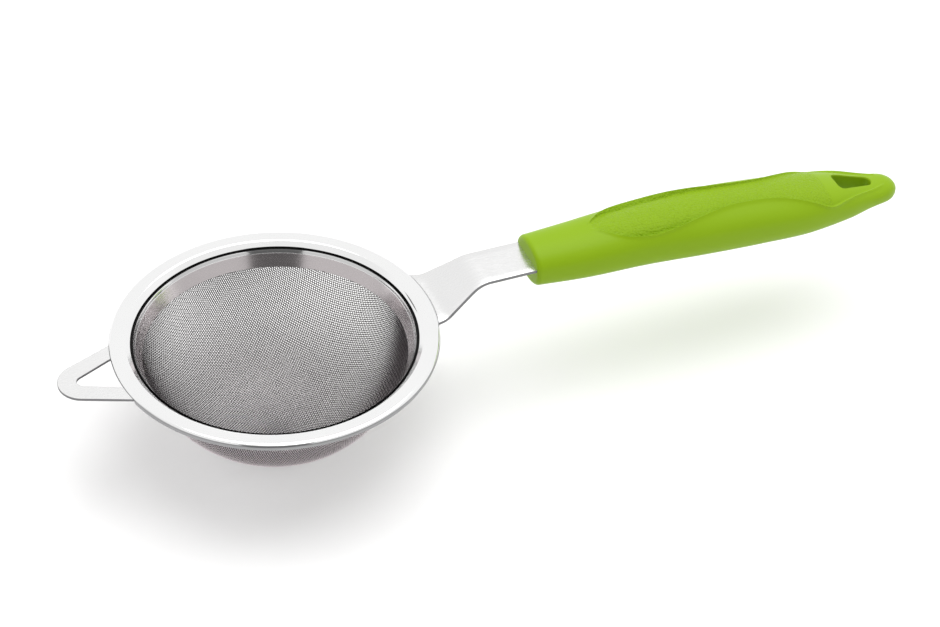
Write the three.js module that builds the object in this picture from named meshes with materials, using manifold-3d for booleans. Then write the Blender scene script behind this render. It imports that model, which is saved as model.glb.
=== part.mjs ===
// Tea strainer: a woven-wire bowl clamped in a flanged rim, with a rest ear on one side and,
// opposite it, a flat steel shank that runs into a moulded grip.
// Millimetres, +Z up. The handle runs along +X. Each piece is drawn with the rim's centre at the
// origin and the flange's top face at z = 0; the group then moves the whole strainer so that the
// origin is the bottom centre of its bounding box.
import * as THREE from "three";
import { ParametricGeometry } from "three/addons/geometries/ParametricGeometry.js";
import { mergeVertices } from "three/addons/utils/BufferGeometryUtils.js";
import Module from "manifold-3d";

// ---- Driving dimensions -------------------------------------------------------------------
const RIM_OUTER_R = 48; // outside of the turned-down lip
const OPENING_R = 41.75; // lower end of the collar that the flange slopes down into
const RIM_SHEET = 0.7; // thickness of the pressed rim
const LIP_DROP = 1.8; // flange top to the lower edge of the lip
const LIP_CORNER_R = 1.2;
const COLLAR_BEND_R = 0.8; // flange top turning down into the collar
const COLLAR_DROP = 1.4; // flange top to the lower end of the collar
const COLLAR_ANGLE = THREE.MathUtils.degToRad(42); // the collar's slope below level
const GROOVE_INNER_R = 41.2; // narrow groove between the collar and the hem
const GROOVE_DROP = 2.1;
const HEM_TOP_R = 41.05; // the hem stands up inside the groove and closes over the band and the cloth
const HEM_TOP_DROP = 1.5;
const HEM_BOTTOM_R = 40.35;
const HEM_BOTTOM_DROP = 2.8;
const SKIRT_DROP = 6.4; // flange top to the lower edge of the skirt

const BAND_SHEET = 0.46; // radial thickness of the retaining band
const BAND_TOP_R = 40.7; // inner face of the band at its upper edge
const BAND_TOP_DROP = 2.9;
const BAND_BOTTOM_R = 38.5; // inner face of the band at its lower edge
const BAND_BOTTOM_DROP = 6.8;

const CLOTH = 0.46; // radial thickness of the woven cloth, two wires thick
const CLOTH_TOP_DROP = 2.95;
const NEST_GAP = 0.05; // radial gap between band, cloth and skirt
const BOWL_DEPTH = 38.1; // flange top to the outside of the bowl's bottom

const FOOT_INNER_R = 43.8; // both welded feet stop here, just outside the skirt
const NOTCH_SLACK = 0.4; // lip to foot, on each side
const EAR_SHEET = 0.8;
const EAR_HALF_WIDTH = 12.4; // where the ear leaves the rim
const EAR_TIP_X = 64.5;
const EAR_TIP_R = 7.6;
const WINDOW_START_X = 46.2;
const WINDOW_HALF_WIDTH = 7.1; // at its inner end, under the flange
const WINDOW_TIP_X = 59;
const WINDOW_TIP_R = 2.1;
const WINDOW_CORNER_R = 1.2;

const SHANK_SHEET = 1.0;
const SHANK_HALF_WIDTH = 7.3; // along the straight stretch
const FOOT_HALF_WIDTH = 11.9;
const FLARE_END_X = 58; // the flared foot's straight sides run in to here
const FLARE_END_EXTRA = 0.95; // half width left over there, which a curve takes up
const FLARE_EASE_X = 61; // where the flare's line would meet the straight sides
const STRAIGHT_START_X = 65;
const BEND_START_X = 48.3; // the shank leaves the flange and starts to rise
const RISE = 6.9; // foot to straight stretch
const RISE_ANGLE = THREE.MathUtils.degToRad(30);
const LOWER_BEND_R = 5;
const UPPER_BEND_R = 10;
const TANG_HALF_WIDTH = 4.6; // deep inside the grip
const TANG_SHOULDER_X = 90; // full width ends here
const TANG_NECK_X = 96; // narrow width starts here
const TANG_END_X = 150;

const GRIP_START_X = 79.3;
const GRIP_END_X = 205.3;
const GRIP_FRONT_FILLET = 1.3;
const GRIP_TAIL_PLAN_ROUND = 10; // length over which the plan outline rounds off
const GRIP_TAIL_SIDE_ROUND = 5; // length over which the side outline rounds off
const SECTION_POWER = 2.3; // superellipse exponent of the grip's section
const POCKET_GAP = 0.15; // plastic to tang
// The hanging hole is a rounded triangle: two front corners beside the axis and one round rear end.
const HOLE_FRONT = { x: 184.8, y: 1.9, radius: 1.7 };
const HOLE_REAR = { x: 193.9, radius: 2.1 };

// Stations along the grip: x, half width, half height, height of the section's centre.
const GRIP_STATIONS = [
  [GRIP_START_X, 8.5, 6.6, 4.5],
  [95, 9.7, 7.4, 4.2],
  [115, 10.8, 8.2, 4.7],
  [135, 11.7, 8.8, 4.1],
  [155, 11.6, 8.6, 2.7],
  [172, 11.1, 7.8, 1.4],
  [186, 9.2, 5.9, 0.6],
  [198, 6.4, 3.7, -0.2],
  [GRIP_END_X, 6.4, 3.7, -0.7],
];

const ROUND_SEGMENTS = 72; // shared by all nested rings, so that their facets line up
const BOWL_RINGS = 18;
const GRIP_AROUND = 44;
const GRIP_ALONG = 52;
const FEET_TOP_Z = -RIM_SHEET; // the feet are welded to the underside of the flange
const CUT_REACH = 20; // how far a cutting block runs past the flange's height, up and down

// ---- Materials ----------------------------------------------------------------------------
function metal(color, roughness) {
  return new THREE.MeshStandardMaterial({ color, roughness, metalness: 1 });
}
const polishedSteel = metal(0xe6e7e8, 0.18);
const brushedSteel = metal(0xdcdddd, 0.32);
const bandSteel = metal(0xa39d9c, 0.3);
const wireCloth = metal(0x9c9697, 0.42);
const limePlastic = new THREE.MeshStandardMaterial({ color: 0x93c11f, roughness: 0.42, metalness: 0 });

// ---- Solid helpers ------------------------------------------------------------------------
const wasm = await Module();
wasm.setup();

function toManifold(geometry) {
  const bare = geometry.clone();
  bare.deleteAttribute("normal");
  bare.deleteAttribute("uv");
  const merged = mergeVertices(bare, 1e-4);
  return new wasm.Manifold(
    new wasm.Mesh({
      numProp: 3,
      vertProperties: merged.attributes.position.array,
      triVerts: new Uint32Array(merged.index.array),
    }),
  );
}

function toGeometry(solid) {
  const mesh = solid.getMesh();
  const geometry = new THREE.BufferGeometry();
  geometry.setAttribute("position", new THREE.BufferAttribute(mesh.vertProperties, 3));
  geometry.setIndex(new THREE.BufferAttribute(mesh.triVerts, 1));
  geometry.computeVertexNormals();
  return geometry;
}

// Turns a profile of (radius, z) points about the Z axis.
function turned(points) {
  return new THREE.LatheGeometry(points, ROUND_SEGMENTS).rotateX(Math.PI / 2);
}

// Extrudes an XY shape from one height to another.
function plate(shape, bottomZ, topZ, curveSegments = 12) {
  const options = { depth: topZ - bottomZ, bevelEnabled: false, curveSegments };
  return new THREE.ExtrudeGeometry(shape, options).translate(0, 0, bottomZ);
}

// ---- Rim ----------------------------------------------------------------------------------
// Radius of the band's inner face at a height, carried on past the band's ends.
function coneRadius(z) {
  const slope = (BAND_TOP_R - BAND_BOTTOM_R) / (BAND_BOTTOM_DROP - BAND_TOP_DROP);
  return BAND_TOP_R + slope * (z + BAND_TOP_DROP);
}
const CLOTH_OFFSET = BAND_SHEET + NEST_GAP;
const SKIRT_OFFSET = CLOTH_OFFSET + CLOTH + NEST_GAP;

// Skirt, hem, groove, collar, flange and lip, from the skirt's lower edge round to it again.
function rimProfile() {
  const skirtInner = (z) => coneRadius(z) + SKIRT_OFFSET;
  const slopeRun = (COLLAR_DROP - COLLAR_BEND_R * (1 - Math.cos(COLLAR_ANGLE))) / Math.tan(COLLAR_ANGLE);
  const bendX = OPENING_R + slopeRun + COLLAR_BEND_R * Math.sin(COLLAR_ANGLE);
  const lipX = RIM_OUTER_R - LIP_CORNER_R;
  const path = new THREE.Path();
  path.moveTo(skirtInner(-SKIRT_DROP), -SKIRT_DROP);
  path.lineTo(skirtInner(-HEM_BOTTOM_DROP), -HEM_BOTTOM_DROP);
  path.lineTo(HEM_BOTTOM_R, -HEM_BOTTOM_DROP);
  path.lineTo(HEM_TOP_R, -HEM_TOP_DROP);
  path.lineTo(GROOVE_INNER_R, -HEM_TOP_DROP);
  path.lineTo(GROOVE_INNER_R, -GROOVE_DROP);
  path.lineTo(OPENING_R, -GROOVE_DROP);
  path.lineTo(OPENING_R, -COLLAR_DROP);
  path.absarc(bendX, -COLLAR_BEND_R, COLLAR_BEND_R, Math.PI / 2 + COLLAR_ANGLE, Math.PI / 2, true);
  path.lineTo(lipX, 0);
  path.absarc(lipX, -LIP_CORNER_R, LIP_CORNER_R, Math.PI / 2, 0, true);
  path.lineTo(RIM_OUTER_R, -LIP_DROP);
  path.lineTo(RIM_OUTER_R - RIM_SHEET, -LIP_DROP);
  path.lineTo(RIM_OUTER_R - RIM_SHEET, -RIM_SHEET);
  path.lineTo(bendX, -RIM_SHEET);
  path.lineTo(OPENING_R + RIM_SHEET, -GROOVE_DROP);
  path.lineTo(skirtInner(-SKIRT_DROP) + RIM_SHEET, -SKIRT_DROP);
  path.closePath();
  return path.getPoints(6);
}

// A block that opens the lip where a foot passes under the flange.
function lipNotch(centreX, halfWidth) {
  const depth = RIM_OUTER_R - FOOT_INNER_R;
  const notch = new THREE.BoxGeometry(2 * depth, 2 * halfWidth, LIP_DROP);
  return toManifold(notch.translate(centreX, 0, FEET_TOP_Z - LIP_DROP / 2));
}

function rimGeometry() {
  const ring = toManifold(turned(rimProfile().reverse()));
  return toGeometry(
    ring
      .subtract(lipNotch(RIM_OUTER_R, FOOT_HALF_WIDTH + NOTCH_SLACK))
      .subtract(lipNotch(-RIM_OUTER_R, EAR_HALF_WIDTH + NOTCH_SLACK)),
  );
}

// ---- Retaining band and woven bowl --------------------------------------------------------
function bandGeometry() {
  const corners = [
    [BAND_TOP_R, -BAND_TOP_DROP],
    [BAND_BOTTOM_R, -BAND_BOTTOM_DROP],
    [BAND_BOTTOM_R + BAND_SHEET, -BAND_BOTTOM_DROP],
    [BAND_TOP_R + BAND_SHEET, -BAND_TOP_DROP],
    [BAND_TOP_R, -BAND_TOP_DROP],
  ];
  return turned(corners.map(([radius, z]) => new THREE.Vector2(radius, z)));
}

// Centre height and radius of the sphere through the cloth's bend and the bottom of the bowl.
function bowlSphere() {
  const bendR = BAND_BOTTOM_R + CLOTH_OFFSET;
  const bottomZ = -(BOWL_DEPTH - CLOTH);
  const rise = -BAND_BOTTOM_DROP - bottomZ;
  const radius = (bendR * bendR + rise * rise) / (2 * rise);
  return { radius, centreZ: bottomZ + radius };
}

// One face of the cloth, from the axis up to its clamped edge; grow is 0 inside, CLOTH outside.
function clothFace(grow) {
  const { radius, centreZ } = bowlSphere();
  const edge = Math.asin((centreZ + BAND_BOTTOM_DROP) / radius);
  const face = [];
  for (let ring = 0; ring <= BOWL_RINGS; ring++) {
    const angle = -Math.PI / 2 + ((Math.PI / 2 - edge) * ring) / BOWL_RINGS;
    const x = ring === 0 ? 0 : (radius + grow) * Math.cos(angle);
    face.push(new THREE.Vector2(x, centreZ + (radius + grow) * Math.sin(angle)));
  }
  face.push(new THREE.Vector2(coneRadius(-CLOTH_TOP_DROP) + CLOTH_OFFSET + grow, -CLOTH_TOP_DROP));
  return face;
}

function bowlGeometry() {
  return turned([...clothFace(CLOTH), ...clothFace(0).reverse()]);
}

// ---- Rest ear -----------------------------------------------------------------------------
function earShape() {
  const footAngle = Math.asin(EAR_HALF_WIDTH / FOOT_INNER_R);
  const tipX = EAR_TIP_X - EAR_TIP_R;
  const leaveX = Math.sqrt(RIM_OUTER_R ** 2 - EAR_HALF_WIDTH ** 2);
  // The side runs from the rim to a tangent of the tip circle.
  const reach = Math.hypot(tipX - leaveX, EAR_HALF_WIDTH);
  const lean = Math.asin(EAR_TIP_R / reach);
  const side = Math.PI / 2 - (Math.atan2(EAR_HALF_WIDTH, tipX - leaveX) - lean);
  const shape = new THREE.Shape();
  shape.absarc(0, 0, FOOT_INNER_R, footAngle, -footAngle, true);
  shape.lineTo(leaveX, -EAR_HALF_WIDTH);
  shape.absarc(tipX, 0, EAR_TIP_R, -side, side, false);
  shape.lineTo(leaveX, EAR_HALF_WIDTH);
  shape.closePath();
  shape.holes.push(windowPath());
  return shape;
}

// Triangular window with a rounded tip; its straight inner end lies under the flange.
function windowPath() {
  const tipX = WINDOW_TIP_X - WINDOW_TIP_R;
  const run = tipX - WINDOW_START_X;
  const reach = Math.hypot(run, WINDOW_HALF_WIDTH);
  const lean = Math.asin(WINDOW_TIP_R / reach);
  const slope = Math.atan2(WINDOW_HALF_WIDTH, run) - lean;
  const side = Math.PI / 2 - slope;
  const corner = WINDOW_HALF_WIDTH - WINDOW_CORNER_R * Math.tan(side / 2 + slope / 2);
  const path = new THREE.Path();
  path.moveTo(WINDOW_START_X, -corner);
  path.lineTo(WINDOW_START_X, corner);
  path.quadraticCurveTo(
    WINDOW_START_X,
    WINDOW_HALF_WIDTH,
    WINDOW_START_X + WINDOW_CORNER_R * Math.cos(slope),
    WINDOW_HALF_WIDTH - WINDOW_CORNER_R * Math.sin(slope),
  );
  path.absarc(tipX, 0, WINDOW_TIP_R, side, -side, true);
  path.lineTo(
    WINDOW_START_X + WINDOW_CORNER_R * Math.cos(slope),
    -WINDOW_HALF_WIDTH + WINDOW_CORNER_R * Math.sin(slope),
  );
  path.quadraticCurveTo(WINDOW_START_X, -WINDOW_HALF_WIDTH, WINDOW_START_X, -corner);
  return path;
}

function earGeometry() {
  return plate(earShape(), FEET_TOP_Z - EAR_SHEET, FEET_TOP_Z, 10).rotateZ(Math.PI);
}

// ---- Handle shank -------------------------------------------------------------------------
// Middle line of the sheet in side view: foot, lower bend, rise, upper bend, straight stretch.
function shankMiddle() {
  const footZ = FEET_TOP_Z - SHANK_SHEET / 2;
  const sine = Math.sin(RISE_ANGLE);
  const cosine = Math.cos(RISE_ANGLE);
  const slopeRise = RISE - (LOWER_BEND_R + UPPER_BEND_R) * (1 - cosine);
  const slopeStartX = BEND_START_X + LOWER_BEND_R * sine;
  const slopeEndX = slopeStartX + slopeRise / Math.tan(RISE_ANGLE);
  const upperX = slopeEndX + UPPER_BEND_R * sine;
  const path = new THREE.Path();
  path.moveTo(FOOT_INNER_R, footZ);
  path.lineTo(BEND_START_X, footZ);
  path.absarc(
    BEND_START_X,
    footZ + LOWER_BEND_R,
    LOWER_BEND_R,
    -Math.PI / 2,
    -Math.PI / 2 + RISE_ANGLE,
    false,
  );
  path.absarc(
    upperX,
    footZ + RISE - UPPER_BEND_R,
    UPPER_BEND_R,
    Math.PI / 2 + RISE_ANGLE,
    Math.PI / 2,
    true,
  );
  path.lineTo(TANG_END_X, footZ + RISE);
  return path.getPoints(5);
}

// A closed side view: the middle line moved half the sheet's thickness to both sides.
function shankSideShape() {
  const middle = shankMiddle();
  const normals = middle.map((point, i) => {
    const before = middle[Math.max(i - 1, 0)];
    const after = middle[Math.min(i + 1, middle.length - 1)];
    const along = after.clone().sub(before).normalize();
    return new THREE.Vector2(-along.y, along.x);
  });
  const offset = (distance) =>
    middle.map((point, i) => point.clone().addScaledVector(normals[i], distance));
  const half = SHANK_SHEET / 2;
  return new THREE.Shape([...offset(-half), ...offset(half).reverse()]);
}

// The plan outline from the foot to the tang's end; grow widens it for the pocket in the grip.
function shankPlanShape(grow = 0) {
  const footAngle = Math.asin(FOOT_HALF_WIDTH / FOOT_INNER_R);
  const leaveX = Math.sqrt(RIM_OUTER_R ** 2 - FOOT_HALF_WIDTH ** 2);
  const half = SHANK_HALF_WIDTH + grow;
  const tang = TANG_HALF_WIDTH + grow;
  const sides = [];
  for (const sign of [1, -1]) {
    const path = new THREE.Path();
    path.moveTo(FOOT_INNER_R * Math.cos(footAngle), sign * (FOOT_HALF_WIDTH + grow));
    path.lineTo(leaveX, sign * (FOOT_HALF_WIDTH + grow));
    path.lineTo(FLARE_END_X, sign * (half + FLARE_END_EXTRA));
    path.quadraticCurveTo(FLARE_EASE_X, sign * half, STRAIGHT_START_X, sign * half);
    path.lineTo(TANG_SHOULDER_X + grow, sign * half);
    path.lineTo(TANG_NECK_X + grow, sign * tang);
    path.lineTo(TANG_END_X - TANG_HALF_WIDTH, sign * tang);
    sides.push(path.getPoints(6));
  }
  const [left, right] = sides;
  const end = new THREE.Path();
  end.absarc(TANG_END_X - TANG_HALF_WIDTH, 0, tang, -Math.PI / 2, Math.PI / 2, false);
  const inner = new THREE.Path();
  inner.absarc(0, 0, FOOT_INNER_R, footAngle, -footAngle, true);
  return new THREE.Shape([
    ...right,
    ...end.getPoints(8).slice(1, -1),
    ...left.reverse(),
    ...inner.getPoints(6).slice(1, -1),
  ]);
}

function shankGeometry() {
  const width = 4 * FOOT_HALF_WIDTH;
  const bent = new THREE.ExtrudeGeometry(shankSideShape(), { depth: width, bevelEnabled: false });
  bent.rotateX(Math.PI / 2).translate(0, width / 2, 0);
  const outline = plate(shankPlanShape(), -CUT_REACH, CUT_REACH);
  return toGeometry(toManifold(bent).intersect(toManifold(outline)));
}

// ---- Grip ---------------------------------------------------------------------------------
const gripStations = new THREE.CubicInterpolant(
  GRIP_STATIONS.map((station) => station[0]),
  GRIP_STATIONS.flatMap((station) => station.slice(1)),
  3,
);

// How much of the full size is left a given way into a rounded end: 1 before it, 0 at its tip.
function roundOff(into, length) {
  return Math.sqrt(Math.max(0, 1 - THREE.MathUtils.clamp(into / length, 0, 1) ** 2));
}

// Half width, half height and centre height of the grip's section at x.
function gripSection(x) {
  const [width, height, centreZ] = gripStations.evaluate(x);
  const front = GRIP_FRONT_FILLET * (1 - roundOff(GRIP_START_X + GRIP_FRONT_FILLET - x, GRIP_FRONT_FILLET));
  return {
    width: (width - front) * roundOff(x - (GRIP_END_X - GRIP_TAIL_PLAN_ROUND), GRIP_TAIL_PLAN_ROUND),
    height: (height - front) * roundOff(x - (GRIP_END_X - GRIP_TAIL_SIDE_ROUND), GRIP_TAIL_SIDE_ROUND),
    centreZ,
  };
}

// Stations from end to end, closer together where the front fillet and the tail curve fastest.
function gripX(share) {
  const filletShare = 0.08; // of all stations, those within the front fillet
  const tailShare = 0.8; // stations from here on lie within the rounded tail
  const filletX = GRIP_START_X + GRIP_FRONT_FILLET;
  const tailX = GRIP_END_X - GRIP_TAIL_PLAN_ROUND;
  if (share < filletShare) {
    return filletX - GRIP_FRONT_FILLET * Math.cos((share / filletShare) * (Math.PI / 2));
  }
  if (share < tailShare) {
    return THREE.MathUtils.mapLinear(share, filletShare, tailShare, filletX, tailX);
  }
  const turn = ((share - tailShare) / (1 - tailShare)) * (Math.PI / 2);
  return tailX + GRIP_TAIL_PLAN_ROUND * Math.sin(turn);
}

function gripSurface(u, v, target) {
  const capShare = 1 / GRIP_ALONG; // the first row of faces closes the front end
  const share = Math.max(0, (v - capShare) / (1 - capShare));
  const x = gripX(share);
  const { width, height, centreZ } = gripSection(x);
  const angle = (u === 1 ? 0 : u) * 2 * Math.PI;
  const bulge = (value) => Math.sign(value) * Math.abs(value) ** (2 / SECTION_POWER);
  const open = v === 0 || v === 1 ? 0 : 1;
  target.set(
    x,
    open * width * bulge(Math.cos(angle)),
    centreZ + open * height * bulge(Math.sin(angle)),
  );
}

function tangPocket() {
  const topZ = FEET_TOP_Z + RISE + POCKET_GAP;
  const pocket = plate(shankPlanShape(POCKET_GAP), topZ - SHANK_SHEET - 2 * POCKET_GAP, topZ);
  return toManifold(pocket);
}

function hangingHole() {
  const { x, y, radius } = HOLE_FRONT;
  // Angle at which a straight side leaves a front corner and meets the rear end.
  const lean = Math.atan2(y, HOLE_REAR.x - x);
  const reach = Math.hypot(y, HOLE_REAR.x - x);
  const side = Math.PI / 2 - lean - Math.asin((HOLE_REAR.radius - radius) / reach);
  const outline = new THREE.Shape();
  outline.absarc(x, y, radius, side, Math.PI, false);
  outline.absarc(x, -y, radius, Math.PI, 2 * Math.PI - side, false);
  outline.absarc(HOLE_REAR.x, 0, HOLE_REAR.radius, -side, side, false);
  outline.closePath();
  return toManifold(plate(outline, -CUT_REACH, CUT_REACH, 8));
}

function gripGeometry() {
  const body = toManifold(new ParametricGeometry(gripSurface, GRIP_AROUND, GRIP_ALONG));
  return toGeometry(body.subtract(tangPocket()).subtract(hangingHole()));
}

// ---- Assembly -----------------------------------------------------------------------------
function piece(name, geometry, material) {
  const mesh = new THREE.Mesh(geometry, material);
  mesh.name = name;
  return mesh;
}

const strainer = new THREE.Group();
strainer.add(
  piece("rim_flange", rimGeometry(), polishedSteel),
  piece("mesh_retaining_band", bandGeometry(), bandSteel),
  piece("mesh_bowl", bowlGeometry(), wireCloth),
  piece("rest_ear", earGeometry(), brushedSteel),
  piece("handle_shank", shankGeometry(), brushedSteel),
  piece("grip", gripGeometry(), limePlastic),
);
strainer.position.set(-(GRIP_END_X - EAR_TIP_X) / 2, 0, BOWL_DEPTH);

export default strainer;
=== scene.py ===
"""Looks of the tea strainer: a bowl of woven wire in a pressed steel rim, a rest ear, a bent steel
shank and a moulded grip. Shapes are worked out in millimetres from the centre of the flange's top."""
import math

import bmesh
import bpy
import numpy as np
from mathutils import Matrix, Vector
from mathutils.geometry import tessellate_polygon


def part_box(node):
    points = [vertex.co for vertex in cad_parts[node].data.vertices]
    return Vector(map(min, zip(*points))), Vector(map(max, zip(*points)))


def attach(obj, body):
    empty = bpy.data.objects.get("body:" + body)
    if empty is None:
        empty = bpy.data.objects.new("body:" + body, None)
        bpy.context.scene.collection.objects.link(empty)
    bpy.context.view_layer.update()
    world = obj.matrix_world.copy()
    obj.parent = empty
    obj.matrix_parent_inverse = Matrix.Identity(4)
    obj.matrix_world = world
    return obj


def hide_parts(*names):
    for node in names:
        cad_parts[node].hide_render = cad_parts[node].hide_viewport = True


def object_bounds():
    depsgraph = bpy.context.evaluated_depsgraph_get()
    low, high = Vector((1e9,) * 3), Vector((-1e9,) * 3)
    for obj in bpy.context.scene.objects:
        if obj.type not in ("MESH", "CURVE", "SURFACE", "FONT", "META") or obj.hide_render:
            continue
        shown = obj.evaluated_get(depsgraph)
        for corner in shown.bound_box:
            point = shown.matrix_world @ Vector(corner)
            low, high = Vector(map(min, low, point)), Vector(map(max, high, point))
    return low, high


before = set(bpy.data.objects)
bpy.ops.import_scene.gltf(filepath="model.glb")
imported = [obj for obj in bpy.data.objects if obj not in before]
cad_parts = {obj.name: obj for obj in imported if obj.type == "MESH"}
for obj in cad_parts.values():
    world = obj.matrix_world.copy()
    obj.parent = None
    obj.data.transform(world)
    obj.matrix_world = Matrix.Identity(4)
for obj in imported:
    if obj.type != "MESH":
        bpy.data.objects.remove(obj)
cad_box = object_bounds()

MM = 0.001

# ---- Places read from the frame --------------------------------------------------------------
rim_low, rim_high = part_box("rim_flange")
band_low, band_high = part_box("mesh_retaining_band")
bowl_low, bowl_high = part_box("mesh_bowl")
ear_low, ear_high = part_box("rest_ear")
shank_low, shank_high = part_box("handle_shank")
grip_low, grip_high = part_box("grip")
ORIGIN = Vector(((rim_low.x + rim_high.x) / 2, (rim_low.y + rim_high.y) / 2, rim_high.z))


def from_origin(value, axis):
    """A frame coordinate in metres as millimetres from the centre of the flange's top."""
    return (value - ORIGIN[axis]) / MM


RIM_R = (rim_high.x - rim_low.x) / 2 / MM
SKIRT_Z = from_origin(rim_low.z, 2)
BAND_TOP_Z = from_origin(band_high.z, 2)
BAND_BOTTOM_Z = from_origin(band_low.z, 2)
BOWL_BOTTOM_Z = from_origin(bowl_low.z, 2)
FEET_TOP_Z = from_origin(ear_high.z, 2)
EAR_BOTTOM_Z = from_origin(ear_low.z, 2)
EAR_TIP_X = -from_origin(ear_low.x, 0)
EAR_HALF_WIDTH = (ear_high.y - ear_low.y) / 2 / MM
FOOT_HALF_WIDTH = (shank_high.y - shank_low.y) / 2 / MM
SHANK_TOP_Z = from_origin(shank_high.z, 2)
GRIP_START_X = from_origin(grip_low.x, 0)
GRIP_END_X = from_origin(grip_high.x, 0)

# ---- Sizes of the rim and the bowl -----------------------------------------------------------
OPENING_R = 41.75
COLLAR_BEND_R = 0.8
COLLAR_DROP = 1.4
COLLAR_ANGLE = math.radians(42)
RIM_SHEET = 0.7
LIP_DROP = 1.8
LIP_CORNER_R = 1.2
GROOVE_INNER_R = 41.2
GROOVE_DROP = 2.1
HEM_TOP_R = 41.05
HEM_TOP_DROP = 1.5
HEM_BOTTOM_R = 40.35
HEM_BOTTOM_DROP = 2.8
HEM_CROWN = 0.05  # how far the hem's face bulges past a straight line
EDGE_R = 0.12  # softened edge of cut sheet
HEM_SHADE_DROP = 1.9  # painted shade: the hem is coloured near black from its crest down to here
BAND_SHEET = 0.46
BAND_EDGE_R = 0.05
BAND_TOP_R = 40.7
BAND_BOTTOM_R = 38.5
NEST_GAP = 0.05
CLOTH = 0.46
CLOTH_OFFSET = BAND_SHEET + NEST_GAP  # from the band's inner face out to the cloth
SKIRT_OFFSET = CLOTH_OFFSET + CLOTH + NEST_GAP  # from the band's inner face out to the skirt
CLOTH_BEND_R = BAND_BOTTOM_R + CLOTH_OFFSET + CLOTH / 2  # where the bowl bends up into the cone
FOOT_INNER_R = 43.8
NOTCH_SLACK = 0.4
NOTCH_RUN = 0.6  # over which the lip fades into its notches
LIP_SHADE_STEPS = 6  # the last points of the lip's bend take the darker lip colour, painted shade in place of a dark reflection
RIM_SEGMENTS = 540
BAND_SEGMENTS = 360

WIRE_PITCH = 0.68
WIRE_R = 0.125
OUTSIDE_PAINTED_LIGHT = 1.65  # painted light: on the outside of the cloth the wire turns bright this many times nearer to its mid surface
CLOTH_UNDER_BAND = 2.0  # how far the wires are drawn up behind the band
WEAVE_TURN = math.radians(42)  # warp direction against the handle
# Painted shade and highlight: the wire's colour is near black nearer to the cloth's mid surface than the
# first of these and bright past the second.
CROWN_START = WIRE_R * 1.15
CROWN_END = WIRE_R * 1.95

# ---- Sizes of the ear ------------------------------------------------------------------------
EAR_TIP_R = 7.6
WINDOW_START_X = 46.2
WINDOW_HALF_WIDTH = 7.1
WINDOW_TIP_X = 59.0
WINDOW_TIP_R = 2.1
WINDOW_CORNER_R = 1.2

# ---- Sizes of the shank ----------------------------------------------------------------------
SHANK_SHEET = 1.0
SHANK_HALF_WIDTH = 7.3
BEND_START_X = 48.3
RISE_ANGLE = math.radians(30)
LOWER_BEND_R = 5.0
UPPER_BEND_R = 10.0
FOOT_FLAT_END_X = BEND_START_X - 0.3
FLARE_END_X = 58.0
FLARE_EXTRA = 0.95  # how much wider the strip is on each side where its flare ends
STRAIGHT_START_X = 65.0
SHANK_INSIDE_GRIP = 12.0  # the visual strip ends this far inside the grip

# ---- Sizes of the grip -----------------------------------------------------------------------
# Stations along the grip: x, half width, half height, height of the section's centre.
GRIP_STATIONS = [
    (GRIP_START_X, 8.5, 6.6, 4.5),
    (95.0, 9.7, 7.4, 4.2),
    (115.0, 10.8, 8.2, 4.7),
    (135.0, 11.7, 8.8, 4.1),
    (155.0, 11.6, 8.6, 2.7),
    (172.0, 11.1, 7.8, 1.4),
    (186.0, 9.2, 5.9, 0.6),
    (198.0, 6.4, 3.7, -0.2),
    (GRIP_END_X, 6.4, 3.7, -0.7),
]
SECTION_POWER = 2.3
FRONT_FILLET = 1.3
TAIL_PLAN_ROUND = 10.0
TAIL_SIDE_ROUND = 5.0
# Edge of the stippled top panel: x and distance from the middle.
PANEL_EDGE = [
    (97.0, 1.2), (99.5, 1.6), (101.5, 3.2), (104.0, 5.1), (108.0, 7.1), (113.5, 8.4), (119.0, 8.8),
    (127.0, 8.2), (134.0, 7.0), (142.0, 5.6), (151.0, 5.0), (159.0, 5.3), (166.0, 6.7),
    (172.0, 8.4), (177.5, 9.4), (183.0, 8.1), (188.0, 6.5), (193.5, 4.8), (198.0, 3.3), (201.5, 2.0),
    (GRIP_END_X, 1.2),
]
# How deep the panel lies under its edge, and how deep the side is hollowed below the edge: x, mm.
PANEL_DEPTH = [(99.0, 0.0), (104.0, 0.5), (112.0, 1.05), (124.0, 1.05), (138.0, 0.6), (152.0, 0.4),
               (168.0, 0.35), (178.0, 0.25), (190.0, 0.32), (199.0, 0.0)]
SIDE_HOLLOW = [(100.0, 0.0), (112.0, 0.2), (126.0, 0.4), (142.0, 0.5), (160.0, 0.5), (172.0, 0.4),
               (180.0, 0.3), (190.0, 0.3), (200.0, 0.0)]
CREST_RISE = 0.24  # the panel's edge stands up as a fine ridge of this height
CREST_SPREAD = 0.45
EDGE_SINK = 0.8  # the panel is this much deeper, as a share, beside its edge
SINK_RUN = 2.2
PANEL_WALL = 0.45  # width of the steep wall inside the panel's edge
HOLLOW_RUN = 3.0  # the side's hollow is deepest this far below the panel's edge
FADE_EDGE = 2.5  # where the panel is narrower than twice this its relief fades out
STIPPLE_RUN = (100.0, 178.0)
# The hanging hole is a rounded triangle: two front corners and a round rear end.
HOLE_FRONT_X, HOLE_FRONT_Y, HOLE_FRONT_R = 184.8, 1.9, 1.7
HOLE_REAR_X, HOLE_REAR_R = 193.9, 2.1
HOLE_MOUTH_R = 0.7


# ---- Node helpers ----------------------------------------------------------------------------
def new_material(name):
    """A node material: returns it, its tree and its Principled shader."""
    material = bpy.data.materials.new(name)
    material.use_nodes = True
    tree = material.node_tree
    return material, tree, tree.nodes["Principled BSDF"]


def node(tree, kind, links=(), **values):
    """Adds a node, sets its properties, and links (input, output socket) pairs into it."""
    made = tree.nodes.new(kind)
    for key, value in values.items():
        setattr(made, key, value)
    for socket, source in links:
        tree.links.new(source, made.inputs[socket])
    return made


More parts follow.
